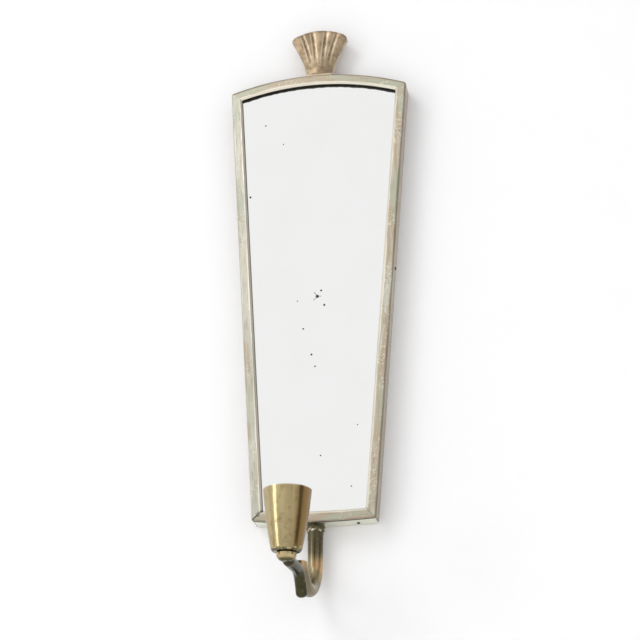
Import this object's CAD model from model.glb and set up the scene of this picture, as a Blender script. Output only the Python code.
import math
import random

import bmesh
import bpy
from bpy.props import FloatProperty, FloatVectorProperty, PointerProperty
from mathutils import Matrix, Vector


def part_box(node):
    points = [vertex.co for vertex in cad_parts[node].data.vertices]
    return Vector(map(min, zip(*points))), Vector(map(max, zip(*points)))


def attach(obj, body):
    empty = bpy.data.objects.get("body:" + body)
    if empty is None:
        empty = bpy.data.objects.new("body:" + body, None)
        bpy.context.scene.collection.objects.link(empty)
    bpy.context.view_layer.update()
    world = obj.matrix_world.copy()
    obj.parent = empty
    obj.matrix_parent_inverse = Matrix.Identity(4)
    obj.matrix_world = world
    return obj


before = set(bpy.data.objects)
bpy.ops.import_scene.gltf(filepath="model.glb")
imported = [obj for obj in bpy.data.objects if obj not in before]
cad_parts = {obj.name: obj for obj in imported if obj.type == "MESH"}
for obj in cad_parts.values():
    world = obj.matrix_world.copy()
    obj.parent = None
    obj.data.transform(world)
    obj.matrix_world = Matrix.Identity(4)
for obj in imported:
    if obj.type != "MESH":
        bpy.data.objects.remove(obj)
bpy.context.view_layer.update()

bl_info = {
    "name": "Girandole Mirror",
    "version": (1, 0, 0),
    "blender": (4, 5, 0),
    "location": "View3D > Sidebar > Girandole",
    "description": "Finishes and small details of a girandole mirror with a candle arm",
    "category": "Object",
}

MM = 0.001


# ---------------------------------------------------------------- places read from the frame

CAD_FRONT = -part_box("frame_left_rail")[0].y
GLASS_MIDDLE = (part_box("mirror_glass")[0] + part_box("mirror_glass")[1]) / 2
FINIAL_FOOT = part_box("frame_top_rail")[1].z
FINIAL_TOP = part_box("finial")[1].z
COLLAR_LOW, COLLAR_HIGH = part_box("arm_collar")
CUP_LOW, CUP_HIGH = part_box("candle_cup")
CUP_AXIS = ((CUP_LOW.x + CUP_HIGH.x) / 2, (CUP_LOW.y + CUP_HIGH.y) / 2, CUP_LOW.z)
CUP_TOP = CUP_HIGH.z - CUP_LOW.z


# ---------------------------------------------------------------- wear and dirt

# Rails. A pair gives where a change begins and where it ends, in metres.
INNER_WEAR = (2.0 * MM, 1.3 * MM)  # rubbed edge, short of the full face width
OUTER_WEAR = (0.3 * MM, 1.5 * MM)  # browned strip along the outer edge
EDGE_WOBBLE = (-0.5 * MM, 0.5 * MM)
SEAM_EDGE = (1.1 * MM, 1.5 * MM)  # to either side of the seam
BROWNED_HEIGHT = (-0.09, 0.035)  # side walls, from their clean foot to their brown top
TOWARDS_MIDDLE = (-0.012, 0.0)
MITRE_STRENGTHS = {(1, "top"): 0.3, (-1, "top"): 0.3, (1, "bottom"): 0.6, (-1, "bottom"): 1.0}
MITRE_SHIFT = 3 * MM
MITRE_LENGTH = 1.7  # of a mitre's line, as a share of the face's width
BOTTOM_SLOPE = 0.08  # of the bottom rail at its corners

# Flaws of the silvering: place across and up from the hanger eye, and radius, in millimetres.
MIRROR_SPECKS = [
    (-35.5, 5.9, 0.4),
    (-23.3, -8.6, 0.35),
    (-44.8, -45.7, 0.55),
    (0.6, -118.1, 0.85),
    (3.0, -114.2, 0.5),
    (5.2, -124.2, 0.55),
    (-12.3, -120.6, 0.28),
    (-8.3, -139.9, 0.4),
    (-2.8, -157.4, 0.5),
    (-0.4, -165.4, 0.42),
    (26.8, -205.0, 0.3),
    (3.6, -224.1, 0.35),
    (23.1, -244.3, 0.35),
]
STAR_SPECK = 3
STAR_RAYS = ((-2.6, 3.6), (3.1, 0.1), (-3.0, -3.1))
STAR_HALF_WIDTH = 0.16 * MM
RAGGED_SPECK = (-0.3 * MM, 0.3 * MM)
ARCH_SHADE = (1.5 * MM, 2.0 * MM)  # dark strip of the glass, counted from the rail's face
ARCH_UNEVEN = (-0.2 * MM, 0.2 * MM)
CLEAR_SILVER, HAZY_SILVER = (0.93, 0.935, 0.925), (0.9, 0.9, 0.88)

# Ornament on the arch. Its grooves are shares of its half width at each height.
FINIAL_GROOVES = (0.22, 0.57)
GROOVE_EDGE = (0.3 * MM, 0.95 * MM)
RIDGE_BESIDE = 1.5 * MM
RIDGE_EDGE = (0.1 * MM, 0.7 * MM)
CREST_START, CREST_END = 3.2 * MM, 1.2 * MM  # below the top edge
FOOT_SEAM = (0.2 * MM, 0.6 * MM)
FOOT_RING = 1.5 * MM
FOOT_RING_EDGE = (0.7 * MM, 1.1 * MM)
RING_SEAM = 2.9 * MM
RING_SEAM_EDGE = (0.1 * MM, 0.4 * MM)

# Cup and boss. Heights are counted from the cup's foot.
POLISHED_SIDE = Vector((-0.35, -0.94))
CUP_FOOT_DIRT = (1.0 * MM, 2.4 * MM)
CUP_FOOT_SPOTS = (2.2 * MM, 3.4 * MM)
CUP_RIM = (CUP_TOP - 0.8 * MM, CUP_TOP - 0.4 * MM)
BOSS_FOOT = (-3.6 * MM, -2.2 * MM)
BOSS_TOP = (-0.9 * MM, -0.2 * MM)

# Reddish bloom on the arm's leg. Distances are counted from its middle.
BLOOM_HEIGHT = COLLAR_LOW.z - 22 * MM
BLOOM_EDGE = (3 * MM, 10 * MM)
ABOVE_BLOOM = (4 * MM, 15 * MM)

# Drops of solder on the collar. Their breadths are shares of their radius.
DROP_COUNT = 15
DROP_SEED = 11
DROP_LEVEL = 0.55  # share of the collar's height
DROP_RADIUS = (0.9, 1.25)  # millimetres
DROP_DEPTH, DROP_LENGTH, DROP_HEIGHT = 0.75, 1.6, (0.55, 0.9)
DROP_SHIFT = (-1.5, 1.2)  # up and down, in millimetres
DROP_TILT = 0.6
DROP_SPACING = 0.3  # unevenness, as a share of the step


# ---------------------------------------------------------------- stage measures

STAGE_SIZE = 8.0
WALL_CENTRE = (0, 0.0006, 0.3)
FLOOR_AHEAD = -2.0
SENSOR_WIDTH = 36.0

# Lamps: name, place, point that it is aimed at, width, height, and the setting of its power.
STAGE_LAMPS = (
    ("key_lamp", (-1.35, -1.9, 1.45), (0, 0, -0.12), 1.1, 1.1, "key_power"),
    ("strip_lamp", (-1.75, -1.35, -0.05), (0, -0.08, -0.26), 0.5, 1.1, "strip_power"),
    ("fill_lamp", (1.9, -1.5, 0.2), (0, 0, -0.15), 1.4, 1.4, "fill_power"),
    ("back_lamp", (0.9, 1.9, 0.9), (0, 0, -0.1), 1.2, 1.2, "back_power"),
)

# World: where the window lies, and the room's light from the far side to the window.
WINDOW_SIDE = (-0.50, -0.81, 0.30)
ROOM_LIGHT = ((0.35, (0.25, 0.24, 0.225, 1)), (0.95, (0.93, 0.93, 0.93, 1)))

# Sockets of a colour Mix node, which share their names between data types.
MIX_FACTOR, MIX_A, MIX_B, MIX_RESULT = 0, 6, 7, 2


# ---------------------------------------------------------------- settings

def size_prop(name, description, default_mm):
    return FloatProperty(name=name, description=description, default=default_mm * MM,
                         unit="LENGTH", subtype="DISTANCE", precision=5)


def colour_prop(name, description, default):
    return FloatVectorProperty(name=name, description=description, default=default,
                               subtype="COLOR", size=3, min=0.0, max=1.0)


class GirandoleSizes(bpy.types.PropertyGroup):
    """Places on the mirror that the finishes and the small pieces follow."""

    half_top: size_prop("Half top", "Centre line to a shoulder's outer corner", 59.0)
    half_bottom: size_prop("Half bottom", "Centre line to a bottom outer corner", 38.5)
    shoulder: size_prop("Shoulder height", "Shoulders above the hanger eye", 30.0)
    corner: size_prop("Corner height", "Bottom corners, counted from the hanger eye", -265.0)
    arch_rise: size_prop("Arch rise", "Crown above the shoulders", 10.0)
    face_width: size_prop("Face width", "Width of a rail's front", 6.8)
    bottom_bow: size_prop("Bottom bow", "Bow of the bottom rail below its corners", 1.6)
    mitre_line: size_prop("Mitre line", "Half width of the dark line in a mitre", 0.11)
    seam_depth: size_prop("Seam depth", "Dark seam behind the front edge", 1.3)
    fan_root: size_prop("Fan root", "Half width of the ornament at its root", 8.3)
    fan_flare: size_prop("Fan flare", "Growth of that half width up to the top", 15.0)
    crest_radius: size_prop("Crest radius", "Radius of the ornament's top edge", 36.0)
    drop_ring: size_prop("Solder ring", "Radius of the ring of solder drops on the collar", 5.1)


class GirandoleColours(bpy.types.PropertyGroup):
    """The finishes' colours."""

    silver: colour_prop("Silvered metal", "Worn pale plate of the frame", (0.545, 0.53, 0.45))
    green: colour_prop("Green patina", "Greenish patches on the frame", (0.43, 0.445, 0.35))
    tan: colour_prop("Tan patina", "Warmer patches on the frame", (0.46, 0.385, 0.285))
    cream: colour_prop("Rubbed edge", "Rubbed edges of the frame", (0.8, 0.76, 0.65))
    underside: colour_prop("Underside", "Cleaner metal under the bottom rail", (0.9, 0.92, 0.8))
    side_brown: colour_prop("Browned sides", "Tarnish of the side walls", (0.2, 0.155, 0.1))
    grime: colour_prop("Grime", "Dirt in seams and mitres", (0.035, 0.031, 0.022))
    finial: colour_prop("Finial bronze", "Cast ornament on the arch", (0.42, 0.318, 0.208))
    finial_dark: colour_prop("Finial shade", "Hollows of the ornament", (0.13, 0.09, 0.05))
    finial_light: colour_prop("Finial ridge", "Rubbed ridges of the ornament", (0.68, 0.55, 0.4))
    brass: colour_prop("Cup brass", "Polished side of the cup", (0.5, 0.41, 0.22))
    brass_dark: colour_prop("Cup tarnish", "Browned side of the cup", (0.23, 0.145, 0.055))
    bronze: colour_prop("Arm bronze", "Rubbed bronze of the arm", (0.2, 0.165, 0.1))
    bronze_dark: colour_prop("Arm patina", "Dark patina of the arm", (0.05, 0.046, 0.022))
    copper: colour_prop("Arm copper", "Reddish bloom on the arm's leg", (0.55, 0.34, 0.17))
    solder: colour_prop("Solder", "Drops of solder on the collar", (0.62, 0.59, 0.47))
    steel: colour_prop("Steel", "Hanger, screws and nut", (0.3, 0.29, 0.27))
    rust: colour_prop("Rust", "Rust on the steel", (0.2, 0.09, 0.04))
    wood: colour_prop("Board", "Old wood of the back board", (0.46, 0.31, 0.185))
    wood_dark: colour_prop("Board grain", "Dark grain of the board", (0.25, 0.155, 0.085))
    paper: colour_prop("Paper", "Packing paper", (0.36, 0.27, 0.17))


class GirandoleStage(bpy.types.PropertyGroup):
    """Wall, floor, lamps and camera."""

    camera: FloatVectorProperty(name="Camera", description="Place of the camera",
                                default=(0.1872, -1.0754, -0.5364), subtype="TRANSLATION")
    target: FloatVectorProperty(name="Target", description="Point that the camera looks at",
                                default=(0.0039, -0.02, -0.1375), subtype="TRANSLATION")
    roll: FloatProperty(name="Roll", description="Turn of the camera about its own axis",
                        default=math.radians(-0.577), subtype="ANGLE")
    lens: FloatProperty(name="Lens", description="Focal length in millimetres on a 36 mm sensor",
                        default=101.7, min=20.0)
    key_power: FloatProperty(name="Key lamp", description="Power of the large lamp at upper left",
                             default=14.5, unit="POWER")
    fill_power: FloatProperty(name="Fill lamp", description="Power of the lamp on the right",
                              default=3.0, unit="POWER")
    strip_power: FloatProperty(name="Strip lamp", description="Power of the upright lamp at left",
                               default=4.5, unit="POWER")
    back_power: FloatProperty(name="Back lamp", description="Power of the lamp behind the object",
                              default=24.0, unit="POWER")
    wall: colour_prop("Wall", "Paint of the wall", (0.95, 0.95, 0.955))
    floor_height: size_prop("Floor height", "Floor, counted from the hanger eye", -780.0)


# ---------------------------------------------------------------- finishes

class Finish:
    """A node material put together by short calls, most of which return an output socket."""

    def __init__(self, name, metallic=0.0, specular=0.5):
        self.material = bpy.data.materials.new(name)
        self.material.use_nodes = True
        self.nodes = self.material.node_tree.nodes
        self.links = self.material.node_tree.links
        self.shader = self.nodes["Principled BSDF"]
        self.shader.inputs["Metallic"].default_value = metallic
        self.shader.inputs["Specular IOR Level"].default_value = specular

    def add(self, kind, sockets=None, **settings):
        node = self.nodes.new(kind)
        for key, value in settings.items():
            setattr(node, key, value)
        for key, value in (sockets or {}).items():
            self.feed(node.inputs[key], value)
        return node

    def feed(self, socket, value):
        if isinstance(value, bpy.types.NodeSocket):
            self.links.new(value, socket)
        elif hasattr(value, "__len__") and len(value) == 3 and socket.type == "RGBA":
            socket.default_value = (*value, 1.0)
        else:
            socket.default_value = value

    def vector_math(self, operation, a, b):
        return self.add("ShaderNodeVectorMath", {0: a, 1: b}, operation=operation).outputs[0]

    def place(self, centre=(0, 0, 0), scale=(1, 1, 1)):
        """Object coordinates about a centre, stretched."""
        at = self.add("ShaderNodeTexCoord").outputs["Object"]
        return self.stretch(self.vector_math("SUBTRACT", at, centre), scale)

    def stretch(self, at, scale):
        return self.vector_math("MULTIPLY", at, scale)

    def split(self, vector):
        return self.add("ShaderNodeSeparateXYZ", {0: vector}).outputs

    def join(self, x, y, z):
        return self.add("ShaderNodeCombineXYZ", {0: x, 1: y, 2: z}).outputs[0]

    def math(self, operation, a, b=0.0, c=0.0, clamp=False):
        return self.add("ShaderNodeMath", {0: a, 1: b, 2: c}, operation=operation,
                        use_clamp=clamp).outputs[0]

    def times(self, a, b):
        return self.math("MULTIPLY", a, b)

    def plus(self, a, b):
        return self.math("ADD", a, b)

    def minus(self, a, b):
        return self.math("SUBTRACT", a, b)

    def larger(self, a, b):
        return self.math("MAXIMUM", a, b)

    def absolute(self, a):
        return self.math("ABSOLUTE", a)

    def noise(self, at, scale, detail=4.0, rough=0.55, twist=0.0):
        return self.add("ShaderNodeTexNoise", {"Vector": at, "Scale": scale, "Detail": detail,
                                               "Roughness": rough, "Distortion": twist}).outputs[0]

    def cells(self, at, scale):
        """Distance to the nearest of a cloud of scattered points."""
        return self.add("ShaderNodeTexVoronoi",
                        {"Vector": at, "Scale": scale}).outputs["Distance"]

    def band(self, value, low, high, to_low=0.0, to_high=1.0):
        """Maps low..high to to_low..to_high smoothly, and holds it outside."""
        return self.add("ShaderNodeMapRange", {"Value": value, "From Min": low, "From Max": high,
                                               "To Min": to_low, "To Max": to_high},
                        interpolation_type="SMOOTHSTEP").outputs[0]

    def spread(self, noise, low, high):
        """Maps a noise, most of which lies in 0.3..0.7, to low..high."""
        return self.band(noise, 0.3, 0.7, low, high)

    def mix(self, factor, a, b):
        node = self.add("ShaderNodeMix", data_type="RGBA")
        self.feed(node.inputs[MIX_FACTOR], factor)
        self.feed(node.inputs[MIX_A], a)
        self.feed(node.inputs[MIX_B], b)
        return node.outputs[MIX_RESULT]

    def near_line(self, at, start, along, half_width, length):
        """1 on a stretch of line in the XZ plane, 0 well beyond half_width from it."""
        x, _, z = self.split(at)
        from_x, from_z = self.minus(x, start[0]), self.minus(z, start[1])
        off = self.math("MULTIPLY_ADD", from_z, -along[0], self.times(from_x, along[1]))
        on = self.math("MULTIPLY_ADD", from_z, along[1], self.times(from_x, along[0]))
        near = self.band(self.absolute(off), half_width, half_width * 2.2, 1.0, 0.0)
        from_middle = self.absolute(self.minus(on, length / 2))
        inside = self.band(from_middle, length * 0.5, length * 0.6, 1.0, 0.0)
        return self.times(near, inside)

    def finish(self, colour, rough, bump=None, strength=0.3, distance=0.3 * MM):
        self.feed(self.shader.inputs["Base Color"], colour)
        self.feed(self.shader.inputs["Roughness"], rough)
        if bump is not None:
            relief = self.add("ShaderNodeBump", {"Height": bump, "Strength": strength,
                                                 "Distance": distance})
            self.links.new(relief.outputs[0], self.shader.inputs["Normal"])
        return self.material


def frame_metal(name, measure, tan_share, edge_brown, inner_dirt, sizes, colours):
    """Worn pale plate over brass: tan and green patches, a rubbed inner edge, browned sides, and
    dirt in the seams.

    measure gives a point's places across, through and along the rail; tan_share is how much of
    it has gone tan, edge_brown how brown its outer edge is, and inner_dirt how dark the face is
    that looks at the glass."""
    # Which side a face is on, and where it lies on the rail.
    f = Finish(name, metallic=0.9)
    at = f.place()
    across, depth, along = measure(f, sizes)
    rail = f.join(across, depth, along)
    drawn = f.stretch(rail, (1, 1, 0.1))
    normal = f.split(f.add("ShaderNodeNewGeometry").outputs["Normal"])
    side = f.band(f.absolute(normal[1]), 0.2, 0.45, 1.0, 0.0)
    inwards = f.times(faces_middle(f, at), side)
    below = f.band(normal[2], -0.9, -0.6, 1.0, 0.0)

    # The plate with its tan and green patches and pale flakes.
    cloud = f.noise(f.stretch(rail, (1, 1, 0.13)), 170, 5, 0.62, 0.6)
    fine = f.noise(at, 420, 5, 0.65)
    streak = f.noise(drawn, 850, 3, 0.6)
    bloom = f.noise(f.stretch(rail, (1, 1, 0.22)), 110, 3, 0.5)
    turning = 0.68 - tan_share * 0.3
    colour = f.mix(f.band(cloud, turning - 0.1, turning + 0.08), colours.silver, colours.tan)
    colour = f.mix(f.band(bloom, 0.46, 0.6, 0.0, 0.85), colour, colours.green)
    colour = f.mix(f.band(streak, 0.55, 0.72, 0.0, 0.45), colour, colours.side_brown)
    flakes = f.times(f.band(f.noise(at, 800, 3, 0.6), 0.52, 0.62),
                     f.band(f.noise(at, 75, 2), 0.46, 0.6))
    colour = f.mix(f.times(flakes, 0.5), colour, colours.cream)

    # Rubbed inner edge and browned outer edge.
    wobble = f.spread(f.noise(drawn, 300, 3), *EDGE_WOBBLE)
    worn_across = f.plus(across, wobble)
    inner = f.band(worn_across, sizes.face_width - INNER_WEAR[0],
                   sizes.face_width - INNER_WEAR[1], 0.0, 0.85)
    outer = f.band(worn_across, *OUTER_WEAR, edge_brown, 0.0)
    colour = f.mix(inner, colour, colours.cream)
    colour = f.mix(outer, colour, colours.side_brown)

    # Side walls, browner towards their top, and the underside.
    wall = f.times(side, f.minus(1.0, below))
    height = f.math("MULTIPLY_ADD", cloud, 0.06, along)
    browned = f.times(f.band(height, *BROWNED_HEIGHT, 0.2, 0.95),
                      f.band(fine, 0.25, 0.6, 1.0, 0.75))
    colour = f.mix(f.times(wall, browned), colour, colours.side_brown)
    colour = f.mix(f.times(f.times(below, side), 0.85), colour, colours.underside)

    # Dirt in the seam, in the mitres and on the faces that look at the glass.
    behind = f.minus(f.plus(depth, CAD_FRONT), sizes.seam_depth)
    seam = f.band(f.absolute(behind), *SEAM_EDGE, 1.0, 0.0)
    seam = f.times(f.times(seam, side), f.band(fine, 0.3, 0.5, 0.75, 1.0))
    seam = f.times(seam, f.larger(below, 0.6))
    ragged = f.band(f.noise(at, 260, 3), 0.35, 0.6, 0.3, 1.0)
    lines = f.larger(seam, f.times(mitre_lines(f, at, sizes), ragged))
    lines = f.larger(lines, f.times(inwards, inner_dirt))
    colour = f.mix(f.times(lines, 0.95), colour, colours.grime)

    # Pits, and the relief of it all.
    pits = f.band(f.cells(at, 620), 0.02, 0.16, 1.0, 0.0)
    pits = f.times(pits, f.band(f.noise(at, 70, 2), 0.52, 0.7))
    colour = f.mix(f.times(pits, 0.7), colour, colours.grime)
    rough = f.plus(f.spread(cloud, 0.3, 0.46), f.times(lines, 0.3))
    relief = f.plus(f.times(streak, 0.5), f.times(fine, 0.3))
    relief = f.plus(relief, f.times(cloud, 1.3))
    relief = f.plus(relief, f.times(flakes, 0.5))
    relief = f.minus(relief, f.times(f.larger(lines, pits), 0.9))
    return f.finish(colour, rough, relief, 0.6, 0.25 * MM)


def along_side_rail(f, sizes):
    """Across a side rail, inwards from its outer edge; depth; and along it."""
    x, depth, z = f.split(f.place())
    lean = math.atan2(sizes.half_top - sizes.half_bottom, sizes.shoulder - sizes.corner)
    out = f.minus(f.absolute(x), sizes.half_top)
    up = f.times(f.minus(z, sizes.shoulder), math.sin(lean))
    return f.math("MULTIPLY_ADD", out, -math.cos(lean), up), depth, z


def along_arc(f, half_chord, rise, end_height, upwards):
    """The same for a curved rail, from its outer edge's half chord, rise and end height."""
    radius = (half_chord ** 2 + rise ** 2) / (2 * rise)
    x, depth, z = f.split(f.place())
    centre = end_height + upwards * (rise - radius)
    up = f.times(f.minus(z, centre), upwards)
    squares = f.math("MULTIPLY_ADD", up, up, f.times(x, x))
    across = f.minus(radius, f.math("SQRT", squares))
    return across, depth, f.times(f.math("ARCTAN2", x, up), radius)


def along_top_rail(f, sizes):
    """The same for the arch."""
    return along_arc(f, sizes.half_top, sizes.arch_rise, sizes.shoulder, 1)


def along_bottom_rail(f, sizes):
    """The same for the bottom rail, which bows downwards."""
    return along_arc(f, sizes.half_bottom, sizes.bottom_bow, sizes.corner, -1)


def faces_middle(f, at):
    """1 on the faces that look towards the middle of the glass, which keep the oldest dirt."""
    outwards = f.vector_math("SUBTRACT", at, GLASS_MIDDLE)
    normal = f.add("ShaderNodeNewGeometry").outputs["Normal"]
    sign = f.add("ShaderNodeVectorMath", {0: outwards, 1: normal}, operation="DOT_PRODUCT")
    return f.band(sign.outputs["Value"], *TOWARDS_MIDDLE, 1.0, 0.0)


def mitre_lines(f, at, sizes):
    """The four mitres, each an uneven line from an outer corner between its two rails: faint at
    the shoulders, and cracked open at the bottom left."""
    crooked = f.add("ShaderNodeTexNoise", {"Vector": at, "Scale": 430.0, "Detail": 2.0})
    shift = f.vector_math("SUBTRACT", crooked.outputs["Color"], (0.5, 0.5, 0.5))
    at = f.vector_math("ADD", at, f.stretch(shift, (MITRE_SHIFT,) * 3))
    lines = 0.0
    for side in (1, -1):
        for end, corner, half, rail in mitre_corners(sizes):
            strength = MITRE_STRENGTHS[(side, end)]
            half_width = sizes.mitre_line * (0.6 + 3 * strength ** 3)
            line = f.near_line(at, (half * side, corner), (rail[0] * side, rail[1]), half_width,
                               sizes.face_width * MITRE_LENGTH)
            lines = f.larger(f.times(line, strength), lines)
    return lines


def mitre_corners(sizes):
    """(end, height, half width, direction) of the two mitres on the right."""
    lean = Vector((sizes.half_top - sizes.half_bottom, sizes.shoulder - sizes.corner)).normalized()
    radius = (sizes.half_top ** 2 + sizes.arch_rise ** 2) / (2 * sizes.arch_rise)
    arch = Vector((-(radius - sizes.arch_rise), sizes.half_top)) / radius
    bottom = Vector((-1.0, -BOTTOM_SLOPE)).normalized()
    return [("top", sizes.shoulder, sizes.half_top, (arch - lean).normalized()),
            ("bottom", sizes.corner, sizes.half_bottom, (bottom + lean).normalized())]


def mirror_silver(sizes, colours):
    """Old silvered glass: clean reflection, a dark edge under the arch, a few dark specks and one
    starred flaw."""
    f = Finish("mirror_silver", metallic=1.0)
    at = f.place()

    # Specks, one of them starred.
    specks = 0.0
    for x, z, size in MIRROR_SPECKS:
        px, _, pz = f.split(f.vector_math("SUBTRACT", at, (x * MM, -CAD_FRONT, z * MM)))
        far = f.math("SQRT", f.plus(f.math("POWER", px, 2.0), f.math("POWER", pz, 2.0)))
        ragged = f.band(f.noise(at, 2600, 2), 0.0, 1.0, *RAGGED_SPECK)
        dot = f.band(f.plus(far, ragged), size * MM * 0.9, size * MM * 1.7, 1.0, 0.0)
        specks = f.larger(specks, dot)
    star = MIRROR_SPECKS[STAR_SPECK]
    for across, up in STAR_RAYS:
        along = Vector((across, up)).normalized()
        ray = f.near_line(at, (star[0] * MM, star[1] * MM), along, STAR_HALF_WIDTH,
                          Vector((across, up)).length * MM * 0.8)
        specks = f.larger(specks, f.times(ray, 0.7))

    # Haze, and the dark strip under the arch.
    haze = f.noise(at, 26, 3)
    colour = f.mix(f.band(haze, 0.4, 0.7, 0.0, 0.25), CLEAR_SILVER, HAZY_SILVER)
    under_arch = f.minus(along_top_rail(f, sizes)[0], sizes.face_width)
    uneven = f.spread(f.noise(at, 300, 2), *ARCH_UNEVEN)
    under_arch = f.band(f.plus(under_arch, uneven), *ARCH_SHADE, 0.97, 0.0)
    specks = f.larger(specks, under_arch)
    colour = f.mix(specks, colour, colours.grime)
    rough = f.plus(0.035, f.times(specks, 0.4))
    return f.finish(colour, rough, f.noise(at, 9, 1), 0.02, 0.4 * MM)


def finial_bronze(sizes, colours):
    """Cast bronze with casting grit, dark in its grooves and along its crest, and rubbed light on
    the ridges beside them."""
    f = Finish("finial_bronze", metallic=0.85)
    at = f.place()
    x, _, z = f.split(at)
    cloud = f.noise(at, 150, 5, 0.65)
    fine = f.noise(at, 900, 4, 0.6)

    # Grooves and ridges, which fan out with the ornament's half width, and the crest.
    height = FINIAL_TOP - FINIAL_FOOT
    level = f.math("DIVIDE", f.minus(z, FINIAL_FOOT), height, clamp=True)
    flare = f.times(f.math("POWER", level, 1.6), sizes.fan_flare)
    half = f.plus(flare, sizes.fan_root)
    grown = f.band(level, 0.2, 0.5)
    grooves, ridges = 0.0, 0.0
    for share in FINIAL_GROOVES:
        groove = f.absolute(f.minus(f.absolute(x), f.times(half, share)))
        grooves = f.larger(f.band(groove, *GROOVE_EDGE, 1.0, 0.0), grooves)
        ridge = f.absolute(f.minus(groove, RIDGE_BESIDE))
        ridges = f.larger(f.band(ridge, *RIDGE_EDGE, 1.0, 0.0), ridges)
    from_crest = f.minus(z, FINIAL_TOP - sizes.crest_radius)
    squares = f.math("MULTIPLY_ADD", from_crest, from_crest, f.times(x, x))
    crest = f.band(f.math("SQRT", squares), sizes.crest_radius - CREST_START,
                   sizes.crest_radius - CREST_END, 0.0, 0.75)

    # Rubbed ridges, dark hollows and pits.
    grit = f.band(fine, 0.4, 0.65, 0.35, 1.0)
    colour = f.mix(f.band(cloud, 0.4, 0.66, 0.0, 0.6), colours.finial, colours.finial_dark)
    colour = f.mix(f.times(f.times(ridges, grown), 0.6), colour, colours.finial_light)
    dark = f.larger(f.times(grooves, grown), crest)
    colour = f.mix(f.times(dark, f.times(grit, 0.9)), colour, colours.finial_dark)
    pits = f.band(f.cells(at, 700), 0.05, 0.2, 1.0, 0.0)
    pits = f.times(pits, f.band(f.noise(at, 300, 2), 0.48, 0.6))
    colour = f.mix(f.times(pits, 0.85), colour, colours.finial_dark)

    # Turned foot: a light ring between two dark seams.
    above = f.minus(z, FINIAL_FOOT)
    from_ring = f.absolute(f.minus(above, FOOT_RING))
    colour = f.mix(f.band(from_ring, *FOOT_RING_EDGE, 0.55, 0.0), colour, colours.finial_light)
    from_seam = f.absolute(f.minus(above, RING_SEAM))
    seams = f.larger(f.band(above, *FOOT_SEAM, 0.85, 0.0),
                     f.band(from_seam, *RING_SEAM_EDGE, 0.6, 0.0))
    colour = f.mix(seams, colour, colours.grime)
    relief = f.plus(f.times(cloud, 0.8), f.times(fine, 0.7))
    relief = f.minus(relief, f.larger(pits, seams))
    return f.finish(colour, f.spread(cloud, 0.34, 0.5), relief, 0.75, 0.3 * MM)


def cup_brass(colours):
    """Spun brass, polished on one side and browned on the other, with tarnish streaks, nicks and a
    rubbed rim."""
    f = Finish("cup_brass", metallic=1.0)
    at = f.place(centre=CUP_AXIS)
    x, y, z = f.split(at)
    turn = f.math("ARCTAN2", y, x)
    round_x, round_y = f.math("COSINE", turn), f.math("SINE", turn)
    streak = f.noise(f.join(round_x, round_y, f.times(z, 9.0)), 2.6, 4, 0.5, 0.3)
    grain = f.noise(f.join(round_x, round_y, f.times(z, 22.0)), 40, 3, 0.6)
    mottle = f.noise(at, 240, 4, 0.6)

    # Polished and browned sides, with nicks.
    polished = f.math("MULTIPLY_ADD", round_y, POLISHED_SIDE[1],
                      f.times(round_x, POLISHED_SIDE[0]))
    polished = f.math("MULTIPLY_ADD", f.minus(streak, 0.5), 1.1, polished)
    colour = f.mix(f.band(polished, 0.3, 1.02), colours.brass_dark, colours.brass)
    colour = f.mix(f.band(streak, 0.54, 0.72, 0.0, 0.3), colour, colours.brass_dark)
    colour = f.mix(f.band(mottle, 0.5, 0.7, 0.0, 0.45), colour, colours.brass_dark)
    nicks = f.band(f.cells(at, 330), 0.03, 0.14, 1.0, 0.0)
    nicks = f.times(nicks, f.band(f.noise(at, 130, 2), 0.5, 0.6))
    colour = f.mix(f.times(nicks, 0.8), colour, colours.grime)

    # Dark foot with bright spots, and the rubbed rim.
    spots = f.times(f.band(f.noise(at, 700, 2), 0.52, 0.6), f.band(z, *CUP_FOOT_SPOTS, 1.0, 0.0))
    low = f.plus(z, f.times(mottle, 0.8 * MM))
    colour = f.mix(f.band(low, *CUP_FOOT_DIRT, 0.9, 0.0), colour, colours.bronze_dark)
    colour = f.mix(f.times(spots, 0.8), colour, colours.brass)
    colour = f.mix(f.band(z, *CUP_RIM, 0.0, 0.7), colour, colours.cream)
    rough = f.plus(f.band(streak, 0.35, 0.7, 0.17, 0.27), f.times(nicks, 0.2))
    dents = f.noise(at, 85, 2, 0.5)
    relief = f.plus(f.times(grain, 0.2), f.times(mottle, 0.4))
    relief = f.plus(relief, f.times(dents, 3.0))
    return f.finish(colour, rough, f.minus(relief, nicks), 0.35, 0.2 * MM)


def boss_brass(colours):
    """Bright turned brass, dark where it meets the cup and the scroll arm."""
    f = Finish("boss_brass", metallic=1.0)
    at = f.place(centre=CUP_AXIS)
    z = f.split(at)[2]
    cloud = f.noise(at, 190, 4, 0.6)
    low = f.plus(z, f.times(cloud, 2.2 * MM))
    colour = f.mix(f.band(cloud, 0.38, 0.62), colours.brass, colours.brass_dark)
    colour = f.mix(f.band(low, *BOSS_FOOT, 0.9, 0.0), colour, colours.bronze_dark)
    colour = f.mix(f.band(z, *BOSS_TOP, 0.0, 0.9), colour, colours.grime)
    return f.finish(colour, f.spread(cloud, 0.14, 0.26), cloud, 0.5, 0.5 * MM)


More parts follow.
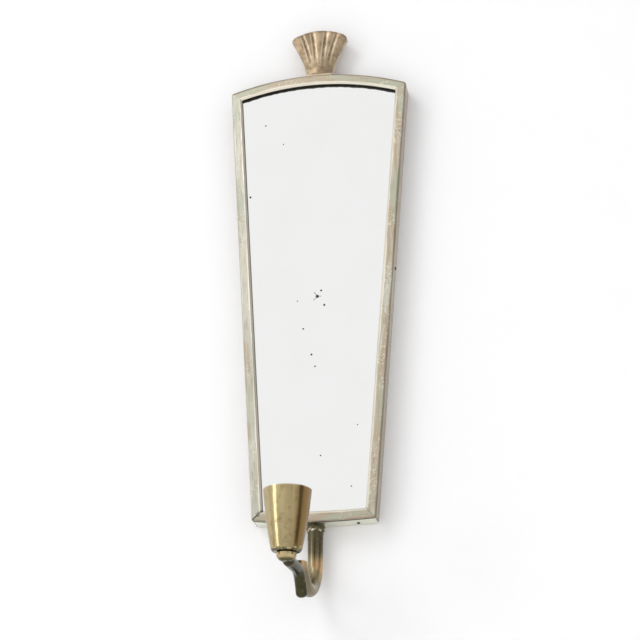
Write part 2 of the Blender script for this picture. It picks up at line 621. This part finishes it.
def arm_bronze(name, rubbed, colours):
    """Dark patinated bronze, lighter where it is rubbed, with a reddish bloom on the leg."""
    f = Finish(name, metallic=0.95)
    at = f.place()
    cloud = f.noise(at, 75, 5, 0.6, 0.5)
    fine = f.noise(at, 700, 4, 0.6)
    streak = f.noise(f.stretch(at, (1, 1, 0.16)), 230, 3, 0.55)
    turning = 0.36 + rubbed * 0.3
    colour = f.mix(f.band(cloud, turning - 0.12, turning + 0.1), colours.bronze,
                   colours.bronze_dark)
    height = f.minus(f.split(at)[2], BLOOM_HEIGHT)
    colour = f.mix(f.band(height, *ABOVE_BLOOM, 0.0, 0.6 * rubbed), colour, colours.bronze_dark)
    bloom = f.band(f.absolute(height), *BLOOM_EDGE, rubbed, 0.0)
    colour = f.mix(f.times(bloom, 0.45), colour, colours.brass)
    colour = f.mix(f.times(bloom, f.band(f.noise(at, 95, 3), 0.44, 0.62, 0.0, 0.85)), colour,
                   colours.copper)
    colour = f.mix(f.band(streak, 0.5, 0.7, 0.0, 0.4), colour, colours.bronze_dark)
    colour = f.mix(f.band(fine, 0.6, 0.8, 0.0, 0.35), colour, colours.brass)
    relief = f.plus(f.times(cloud, 0.9), f.times(fine, 0.3))
    return f.finish(colour, f.spread(cloud, 0.22, 0.38), relief, 0.4, 0.3 * MM)


def solder_metal(colours):
    """Pale solder, browned in patches."""
    f = Finish("solder_metal", metallic=0.8)
    at = f.place()
    cloud = f.noise(at, 420, 4, 0.65)
    colour = f.mix(f.band(cloud, 0.42, 0.6), colours.solder, colours.bronze)
    return f.finish(colour, f.spread(cloud, 0.25, 0.5), cloud, 0.6, 0.3 * MM)


def old_steel(colours):
    """Dull steel with spots of rust."""
    f = Finish("old_steel", metallic=0.85)
    at = f.place()
    rust = f.noise(at, 330, 5, 0.7)
    fine = f.noise(at, 1500, 3, 0.6)
    spots = f.band(rust, 0.5, 0.68)
    colour = f.mix(spots, colours.steel, colours.rust)
    relief = f.plus(f.times(rust, 0.7), f.times(fine, 0.3))
    return f.finish(colour, f.band(rust, 0.4, 0.7, 0.36, 0.8), relief, 0.5, 0.2 * MM)


def old_board(colours):
    """Thin planed softwood with wavy upright grain and dusty stains."""
    f = Finish("old_board", specular=0.3)
    at = f.place(scale=(1, 1, 0.06))
    bend = f.noise(f.place(scale=(1, 1, 0.3)), 22, 3)
    phase = f.plus(f.times(f.split(at)[0], 1150), f.times(bend, 16))
    ring = f.math("SINE", phase)
    fibre = f.noise(at, 1400, 4, 0.65)
    cloud = f.noise(f.place(), 24, 4, 0.6)
    colour = f.mix(f.band(ring, -0.2, 1.0, 0.0, 0.5), colours.wood, colours.wood_dark)
    colour = f.mix(f.band(fibre, 0.45, 0.75, 0.0, 0.6), colour, colours.wood_dark)
    colour = f.mix(f.band(cloud, 0.4, 0.75, 0.0, 0.45), colour, colours.paper)
    relief = f.plus(f.times(ring, 0.15), fibre)
    return f.finish(colour, f.spread(cloud, 0.62, 0.8), relief, 0.45, 0.3 * MM)


def packing_paper(colours):
    """Brown paper with old stains."""
    f = Finish("packing_paper", specular=0.2)
    at = f.place()
    fibre = f.noise(at, 1800, 4, 0.7)
    stain = f.noise(at, 45, 4)
    colour = f.mix(f.band(stain, 0.4, 0.7, 0.0, 0.5), colours.paper, colours.wood)
    return f.finish(colour, f.spread(fibre, 0.82, 0.92), fibre, 0.25, 0.1 * MM)


def dress(material, *nodes):
    """Gives CAD nodes a finish."""
    for node in nodes:
        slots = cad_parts[node].data.materials
        if not slots:
            slots.append(material)
        for i in range(len(slots)):
            slots[i] = material


# ---------------------------------------------------------------- small pieces

def new_piece(name, bm, material):
    """An object made from a bmesh, which is freed."""
    mesh = bpy.data.meshes.new(name)
    bm.to_mesh(mesh)
    bm.free()
    piece = bpy.data.objects.new(name, mesh)
    bpy.context.scene.collection.objects.link(piece)
    piece.data.materials.append(material)
    return piece


def solder_drops(name, sizes, material):
    """An uneven ring of overlapping drops round the collar."""
    bm = bmesh.new()
    uneven = random.Random(DROP_SEED)
    axis_y = (COLLAR_LOW.y + COLLAR_HIGH.y) / 2
    middle = COLLAR_LOW.z + (COLLAR_HIGH.z - COLLAR_LOW.z) * DROP_LEVEL
    for i in range(DROP_COUNT):
        turn = math.tau * (i + uneven.uniform(-DROP_SPACING, DROP_SPACING)) / DROP_COUNT
        where = Vector((math.cos(turn) * sizes.drop_ring,
                        axis_y + math.sin(turn) * sizes.drop_ring,
                        middle + uneven.uniform(*DROP_SHIFT) * MM))
        shape = (Matrix.Translation(where) @ Matrix.Rotation(turn, 4, "Z")
                 @ Matrix.Rotation(uneven.uniform(-DROP_TILT, DROP_TILT), 4, "X")
                 @ Matrix.Diagonal((DROP_DEPTH, DROP_LENGTH, uneven.uniform(*DROP_HEIGHT), 1)))
        bmesh.ops.create_icosphere(bm, subdivisions=3, radius=uneven.uniform(*DROP_RADIUS) * MM,
                                   matrix=shape)
    for face in bm.faces:
        face.smooth = True
    piece = new_piece(name, bm, material)
    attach(piece, "arm")


# ---------------------------------------------------------------- operators

def settings(context):
    """The sizes and the colours that the finishes use."""
    return context.scene.girandole_sizes, context.scene.girandole_colours


class GIRANDOLE_OT_frame(bpy.types.Operator):
    """Dresses the four rails, each with scratches along its own length, and their nails"""

    bl_idname = "girandole.frame"
    bl_label = "Frame"

    def execute(self, context):
        sizes, colours = settings(context)
        for node, measure, tan_share, edge_brown, inner_dirt in (
                ("frame_left_rail", along_side_rail, 0.25, 0.3, 0.75),
                ("frame_right_rail", along_side_rail, 0.7, 0.6, 0.75),
                ("frame_top_rail", along_top_rail, 0.85, 0.9, 1.0),
                ("frame_bottom_rail", along_bottom_rail, 0.85, 0.4, 0.5)):
            dress(frame_metal("worn_" + node, measure, tan_share, edge_brown, inner_dirt, sizes,
                              colours), node)
        dress(arm_bronze("dark_nails", 0.0, colours), "frame_nails")
        return {"FINISHED"}


class GIRANDOLE_OT_glazing(bpy.types.Operator):
    """Dresses the mirror glass, the packing paper and the back board"""

    bl_idname = "girandole.glazing"
    bl_label = "Glass and board"

    def execute(self, context):
        sizes, colours = settings(context)
        dress(mirror_silver(sizes, colours), "mirror_glass")
        dress(packing_paper(colours), "packing_paper")
        dress(old_board(colours), "back_board")
        return {"FINISHED"}


class GIRANDOLE_OT_finial(bpy.types.Operator):
    """Dresses the fluted ornament on the arch"""

    bl_idname = "girandole.finial"
    bl_label = "Finial"

    def execute(self, context):
        sizes, colours = settings(context)
        dress(finial_bronze(sizes, colours), "finial")
        return {"FINISHED"}


class GIRANDOLE_OT_arm(bpy.types.Operator):
    """Dresses the arm's rods, collar, braze and boss, and adds the solder on the collar"""

    bl_idname = "girandole.arm"
    bl_label = "Arm"

    def execute(self, context):
        sizes, colours = settings(context)
        dress(arm_bronze("rubbed_bronze", 1.0, colours), "arm_main", "arm_collar")
        dress(arm_bronze("dark_bronze", 0.0, colours), "arm_scroll", "arm_braze")
        dress(boss_brass(colours), "cup_boss")
        solder_drops("collar_solder", sizes, solder_metal(colours))
        return {"FINISHED"}


class GIRANDOLE_OT_cup(bpy.types.Operator):
    """Dresses the candle cup and its screw"""

    bl_idname = "girandole.cup"
    bl_label = "Candle cup"

    def execute(self, context):
        dress(cup_brass(settings(context)[1]), "candle_cup", "cup_screw")
        return {"FINISHED"}


class GIRANDOLE_OT_fixings(bpy.types.Operator):
    """Dresses the hanger plate, the screws, and the arm's stud, washer and nut"""

    bl_idname = "girandole.fixings"
    bl_label = "Fixings"

    def execute(self, context):
        dress(old_steel(settings(context)[1]), "hanger_plate", "hanger_screws", "finial_screw",
              "arm_stud", "arm_washer", "arm_nut")
        return {"FINISHED"}


class GIRANDOLE_OT_stage(bpy.types.Operator):
    """Makes the wall, the floor, the lamps and the camera"""

    bl_idname = "girandole.stage"
    bl_label = "Stage"

    def execute(self, context):
        stage = context.scene.girandole_stage
        wall = plane_piece("stage_wall", WALL_CENTRE, math.radians(90),
                           one_sided_paint("stage_wall_paint", stage.wall))
        wall.visible_shadow = False
        plane_piece("stage_floor", (0, FLOOR_AHEAD, stage.floor_height), 0,
                    one_sided_paint("stage_floor_paint", stage.wall))
        for name, place, target, width, height, power in STAGE_LAMPS:
            lamp(name, place, target, width, height, getattr(stage, power))
        make_world(context.scene)
        make_camera(context.scene, stage)
        return {"FINISHED"}


# ---------------------------------------------------------------- stage

def plane_piece(name, centre, tilt, material):
    """A square of the stage, tilted about X."""
    bm = bmesh.new()
    place = Matrix.Translation(centre) @ Matrix.Rotation(tilt, 4, "X")
    bmesh.ops.create_grid(bm, x_segments=1, y_segments=1, size=0.5,
                          matrix=place @ Matrix.Diagonal((STAGE_SIZE, STAGE_SIZE, 1, 1)))
    piece = new_piece(name, bm, material)
    return piece


def one_sided_paint(name, colour):
    """Matt paint in front, clear from behind, so that the object's back can be seen."""
    f = Finish(name, specular=0.1)
    f.finish(tuple(colour), 0.9)
    clear = f.add("ShaderNodeBsdfTransparent")
    behind = f.add("ShaderNodeNewGeometry").outputs["Backfacing"]
    both = f.add("ShaderNodeMixShader", {0: behind, 1: f.shader.outputs[0], 2: clear.outputs[0]})
    f.links.new(both.outputs[0], f.nodes["Material Output"].inputs["Surface"])
    return f.material


def aimed_at(target, place):
    """The turn that points a lamp's or a camera's -Z at a target."""
    return (Vector(target) - Vector(place)).to_track_quat("-Z", "Y")


def lamp(name, place, target, width, height, power):
    """A rectangular lamp."""
    data = bpy.data.lights.new(name, "AREA")
    data.shape = "RECTANGLE"
    data.size = width
    data.size_y = height
    data.energy = power
    lamp_object = bpy.data.objects.new(name, data)
    lamp_object.location = place
    lamp_object.rotation_euler = aimed_at(target, place).to_euler()
    bpy.context.scene.collection.objects.link(lamp_object)


def make_world(scene):
    """White to the camera; to the object a large soft window in front and on the left, and a
    dimmer room on the right."""
    world = bpy.data.worlds.new("studio")
    world.use_nodes = True
    nodes, links = world.node_tree.nodes, world.node_tree.links
    background = nodes["Background"]
    facing = nodes.new("ShaderNodeVectorMath")
    facing.operation = "DOT_PRODUCT"
    links.new(nodes.new("ShaderNodeTexCoord").outputs["Generated"], facing.inputs[0])
    facing.inputs[1].default_value = WINDOW_SIDE
    room = nodes.new("ShaderNodeValToRGB")
    ramp = room.color_ramp
    ramp.interpolation = "EASE"
    for element, (position, light) in zip(ramp.elements, ROOM_LIGHT):
        element.position, element.color = position, light
    share = nodes.new("ShaderNodeMath")
    share.operation = "MULTIPLY_ADD"
    links.new(facing.outputs["Value"], share.inputs[0])
    share.inputs[1].default_value = 0.5
    share.inputs[2].default_value = 0.5
    links.new(share.outputs[0], room.inputs[0])
    path = nodes.new("ShaderNodeLightPath")
    white = nodes.new("ShaderNodeMix")
    white.data_type = "RGBA"
    links.new(path.outputs["Is Camera Ray"], white.inputs[MIX_FACTOR])
    links.new(room.outputs[0], white.inputs[MIX_A])
    white.inputs[MIX_B].default_value = (1, 1, 1, 1)
    links.new(white.outputs[MIX_RESULT], background.inputs["Color"])
    scene.world = world


def make_camera(scene, stage):
    """The camera, below the object and to its right."""
    data = bpy.data.cameras.new("camera")
    data.lens = stage.lens
    data.sensor_width = SENSOR_WIDTH
    camera = bpy.data.objects.new("camera", data)
    look = aimed_at(stage.target, stage.camera)
    turn = look.to_matrix().to_4x4() @ Matrix.Rotation(-stage.roll, 4, "Z")
    camera.matrix_world = Matrix.Translation(stage.camera) @ turn
    scene.collection.objects.link(camera)
    scene.camera = camera


# ---------------------------------------------------------------- panel and registration

PIECES = (GIRANDOLE_OT_frame, GIRANDOLE_OT_glazing, GIRANDOLE_OT_finial, GIRANDOLE_OT_arm,
          GIRANDOLE_OT_cup, GIRANDOLE_OT_fixings, GIRANDOLE_OT_stage)
GROUPS = (GirandoleSizes, GirandoleColours, GirandoleStage)


class GIRANDOLE_PT_panel(bpy.types.Panel):
    """Lists the pieces and their settings"""

    bl_idname = "GIRANDOLE_PT_panel"
    bl_label = "Girandole mirror"
    bl_space_type = "VIEW_3D"
    bl_region_type = "UI"
    bl_category = "Girandole"

    def draw(self, context):
        for piece in PIECES:
            self.layout.operator(piece.bl_idname)
        for group in (context.scene.girandole_sizes, context.scene.girandole_colours,
                      context.scene.girandole_stage):
            for name in group.__annotations__:
                self.layout.prop(group, name)


def register():
    for cls in GROUPS + PIECES + (GIRANDOLE_PT_panel,):
        bpy.utils.register_class(cls)
    bpy.types.Scene.girandole_sizes = PointerProperty(type=GirandoleSizes)
    bpy.types.Scene.girandole_colours = PointerProperty(type=GirandoleColours)
    bpy.types.Scene.girandole_stage = PointerProperty(type=GirandoleStage)


def unregister():
    del bpy.types.Scene.girandole_sizes
    del bpy.types.Scene.girandole_colours
    del bpy.types.Scene.girandole_stage
    for cls in reversed(GROUPS + PIECES + (GIRANDOLE_PT_panel,)):
        bpy.utils.unregister_class(cls)


def main():
    register()
    bpy.context.scene.view_settings.view_transform = "Standard"
    bpy.ops.girandole.frame()
    bpy.ops.girandole.glazing()
    bpy.ops.girandole.finial()
    bpy.ops.girandole.arm()
    bpy.ops.girandole.cup()
    bpy.ops.girandole.fixings()
    bpy.ops.girandole.stage()


if __name__ == "__main__":
    main()
